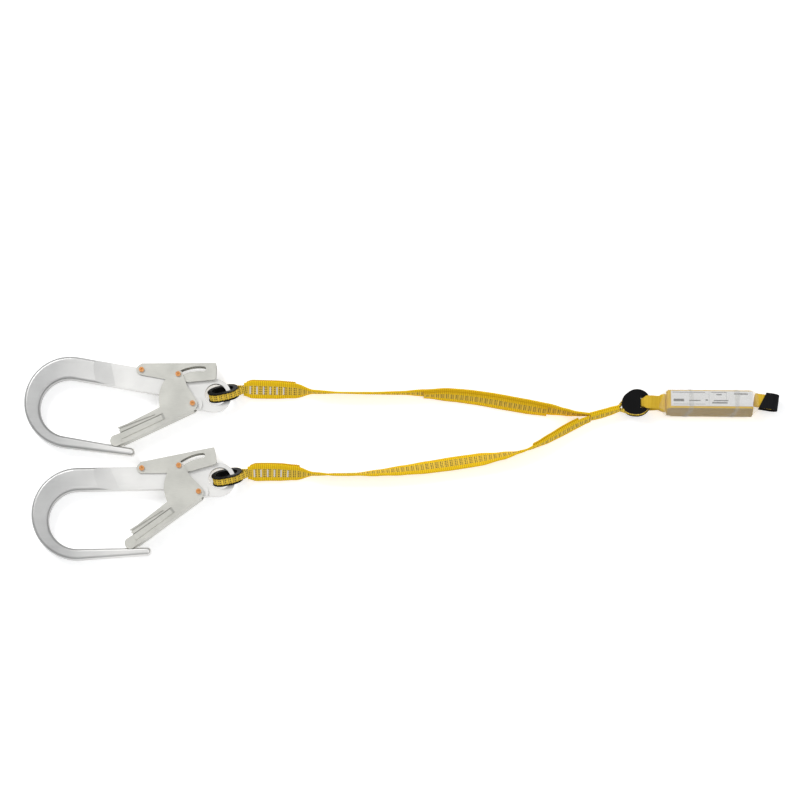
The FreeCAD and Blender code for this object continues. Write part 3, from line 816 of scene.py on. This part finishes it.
def make_wrap():
    """The clear film round the pack, drawn in at both ends and creased."""
    wide, high = PACK_WIDE + 2.2, PACK_HIGH + 2.4
    neck = [(24.5, 16.5, 8.5, 0, 0), (28.5, 18.5, 11, 0, 0), (32, 23, 17, 0, 0),
            (34, wide, high - 1, 0, 0), (37, wide, high, 0, 0)]
    body = [(x, wide, high, 0, 0) for x in range(42, 133, 7)]
    tail = [(136, wide - 0.5, high - 1.5, 0.2, 0.5), (140, wide - 3.5, high - 7, 0.8, 1.5),
            (145, wide - 8, high - 12, 1.2, 1.8)]
    piece = tube("clear_wrap_film", neck + body + tail)
    shape_with(piece, "SUBSURF", levels=2)
    clouds = bpy.data.textures.new("film_creases", "CLOUDS")
    clouds.noise_scale = 0.016
    shape_with(piece, "DISPLACE", texture=clouds, strength=0.9 * MM, mid_level=0.5)
    shape_with(piece, "SOLIDIFY", thickness=FILM_WALL * MM, offset=1.0)
    settle(piece, rolled @ along_pack)
    return piece


BAND_SLANT = math.radians(17)
BAND_HALF = 2.6


def make_band(name, middle):
    """A narrow doubled band of film round the pack, cut slanting from a wider tube."""
    wide, high = PACK_WIDE + 2.9, PACK_HIGH + 3.1
    piece = tube(name, [(middle - 12, wide, high, 0, 0), (middle + 12, wide, high, 0, 0)])
    shape_with(piece, "SUBSURF", levels=2)
    bpy.ops.object.mode_set(mode="EDIT")
    for side in (-1, 1):
        bpy.ops.mesh.select_all(action="SELECT")
        bpy.ops.mesh.bisect(
            plane_co=(0, 0, (middle + side * BAND_HALF) * MM),
            plane_no=(0, -math.sin(BAND_SLANT), math.cos(BAND_SLANT)),
            clear_inner=side < 0, clear_outer=side > 0,
        )
    bpy.ops.object.mode_set(mode="OBJECT")
    shape_with(piece, "SOLIDIFY", thickness=FILM_WALL * MM, offset=1.0)
    settle(piece, rolled @ along_pack)
    return piece


def make_label():
    """The printed label, lying on top of the folded webbing."""
    select_only()
    bpy.ops.mesh.primitive_plane_add(size=1)
    piece = bpy.context.object
    piece.name = "printed_label"
    piece.data.uv_layers[0].name = "print"
    middle_x = (LABEL_FROM + LABEL_TO) / 2
    bpy.ops.object.mode_set(mode="EDIT")
    bpy.ops.mesh.select_all(action="SELECT")
    bpy.ops.transform.resize(value=((LABEL_TO - LABEL_FROM) * MM, LABEL_WIDE * MM, 1))
    bpy.ops.transform.translate(value=(middle_x * MM, 0.5 * MM, (PACK_HIGH / 2 + 0.12) * MM))
    bpy.ops.mesh.subdivide(number_cuts=11)
    bpy.ops.object.mode_set(mode="OBJECT")
    shape_with(piece, "SOLIDIFY", thickness=0.2 * MM, offset=1.0)
    settle(piece, rolled)
    return piece


def finish_soft(piece, material, slot, *stands_for):
    """Paint and smooth a piece of the pack's covering, and tie it to the absorber."""
    piece.data.materials.clear()
    piece.data.materials.append(material)
    select_only(piece)
    bpy.ops.object.shade_smooth_by_angle(angle=SMOOTH_ANGLE)
    return as_piece(piece, "absorber", slot, *stands_for)


finish_soft(make_wrap(), FILM, "clear_film", "clear_wrap")
finish_soft(make_label(), LABEL, "label", "label")
finish_soft(make_band("film_band_front", 60.5), BAND, "clear_film", "wrap_bands")
finish_soft(make_band("film_band_rear", 115.5), BAND, "clear_film", "wrap_bands")

# ------------------------------------------------------------------ finishes on the metal and plastic
FINISH = {
    "hook_body": ALUMINIUM, "gate_rivet": COPPER, "lever_rivet": COPPER, "pivot_washers": ZINC,
    "gate_spring": SPRING, "lever_spring": SPRING, "gate_shell": ZINC, "gate_nose": ZINC,
    "gate_pin": COPPER, "lever": ZINC, "thimble": BLACK_NYLON, "thimble_centre": BLACK_NYLON,
    "bar_tacks": THREAD, "clear_wrap": FILM, "wrap_bands": BAND, "label": LABEL,
}
for name, piece in nodes.items():
    kind = name.removesuffix("_a").removesuffix("_b")
    for slot in piece.material_slots:
        slot.material = FINISH.get(kind, TEAR_YARN)


# ------------------------------------------------------------------ table
def make_table():
    select_only()
    bpy.ops.mesh.primitive_plane_add(size=14, location=(0, 0, -0.0002))
    table = bpy.context.object
    table.name = "pale_table"
    paint = Paint("white_table")
    paint.give(Base_Color=(0.93, 0.93, 0.93), Roughness=0.9)
    paint.give(Emission_Color=(1.0, 1.0, 1.0), Emission_Strength=0.42)
    table.data.materials.append(paint.material)


make_table()
world = bpy.data.worlds.new("pale_room")
world.use_nodes = True
room = world.node_tree.nodes
towards = room.new("ShaderNodeTexCoord")
height = room.new("ShaderNodeSeparateXYZ")
ceiling = room.new("ShaderNodeMapRange")
for key, value in {"From Min": 0.12, "From Max": 0.5, "To Min": 0.10, "To Max": 0.62}.items():
    ceiling.inputs[key].default_value = value
room["Background"].inputs[0].default_value = (0.97, 0.98, 1.0, 1)
world.node_tree.links.new(towards.outputs["Generated"], height.inputs[0])
world.node_tree.links.new(height.outputs[2], ceiling.inputs["Value"])
world.node_tree.links.new(ceiling.outputs["Result"], room["Background"].inputs[1])
bpy.context.scene.world = world
bpy.context.scene.view_settings.view_transform = "Standard"
